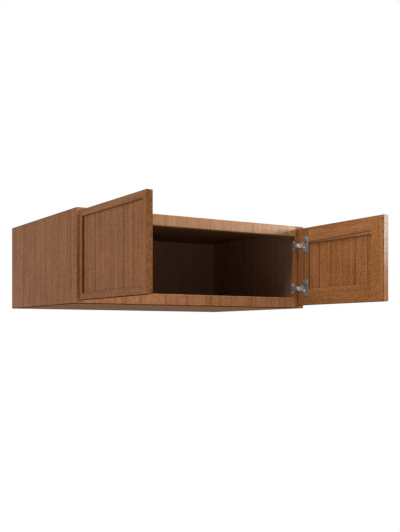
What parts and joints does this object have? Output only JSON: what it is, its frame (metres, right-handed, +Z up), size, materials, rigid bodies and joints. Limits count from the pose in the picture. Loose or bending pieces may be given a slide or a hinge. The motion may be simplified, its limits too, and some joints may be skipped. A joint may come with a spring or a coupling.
{
  "type": "over-fridge wall cabinet",
  "caption": "Wide, deep wall cabinet for over a refrigerator: face-framed wooden case with butt doors on concealed hinges, standing open square.",
  "frame": {"origin": "on the wall plane, at the middle of the case's lower back edge", "axes": "+X to the right seen from the front, +Y towards the wall, +Z up; the doors open towards -Y"},
  "size_m": [0.9144, 1.0575, 0.3048],
  "materials": {
    "stained_wood": "stained brown, satin lacquer",
    "stained_veneer": "stained veneered plywood, satin lacquer",
    "raw_plywood": "unfinished plywood",
    "beech": "bare fluted dowel",
    "zinc_steel": "dull zinc plate",
    "nickel_steel": "bright nickel plate",
    "clear_bumper": "clear soft polyurethane"
  },
  "bodies": {
    "case": {"left_side_panel": "stained_veneer", "right_side_panel": "stained_veneer", "top_panel": "stained_veneer", "bottom_panel": "stained_veneer", "back_panel": "stained_veneer", "upper_hanging_rail": "raw_plywood", "lower_hanging_rail": "raw_plywood", "frame_left_stile": "stained_wood", "frame_right_stile": "stained_wood", "frame_top_rail": "stained_wood", "frame_bottom_rail": "stained_wood", "frame_corner_dowels": "beech", "frame_case_dowels": "beech", "hanging_rail_dowels": "beech", "left_upper_hinge_plate": "zinc_steel", "left_upper_hinge_arm": "nickel_steel", "left_lower_hinge_plate": "zinc_steel", "left_lower_hinge_arm": "nickel_steel", "left_hinge_plate_screws": "zinc_steel", "right_upper_hinge_plate": "zinc_steel", "right_upper_hinge_arm": "nickel_steel", "right_lower_hinge_plate": "zinc_steel", "right_lower_hinge_arm": "nickel_steel", "right_hinge_plate_screws": "zinc_steel"},
    "left_door": {"left_door_hinge_stile": "stained_wood", "left_door_free_stile": "stained_wood", "left_door_top_rail": "stained_wood", "left_door_bottom_rail": "stained_wood", "left_door_panel": "stained_wood", "left_door_bumpers": "clear_bumper", "left_upper_hinge_cup": "zinc_steel", "left_upper_hinge_pin": "nickel_steel", "left_lower_hinge_cup": "zinc_steel", "left_lower_hinge_pin": "nickel_steel", "left_hinge_cup_screws": "zinc_steel"},
    "right_door": {"right_door_hinge_stile": "stained_wood", "right_door_free_stile": "stained_wood", "right_door_top_rail": "stained_wood", "right_door_bottom_rail": "stained_wood", "right_door_panel": "stained_wood", "right_door_bumpers": "clear_bumper", "right_upper_hinge_cup": "zinc_steel", "right_upper_hinge_pin": "nickel_steel", "right_lower_hinge_cup": "zinc_steel", "right_lower_hinge_pin": "nickel_steel", "right_hinge_cup_screws": "zinc_steel"}
  },
  "joints": [
    {"name": "left_door_hinge", "type": "hinge", "parent": "case", "child": "left_door", "pos_m": [-0.4382, -0.6223, 0.1524], "axis": [0, 0, -1], "range_deg": [-90, 15]},
    {"name": "right_door_hinge", "type": "hinge", "parent": "case", "child": "right_door", "pos_m": [0.4382, -0.6223, 0.1524], "axis": [0, 0, 1], "range_deg": [-90, 15]}
  ]
}
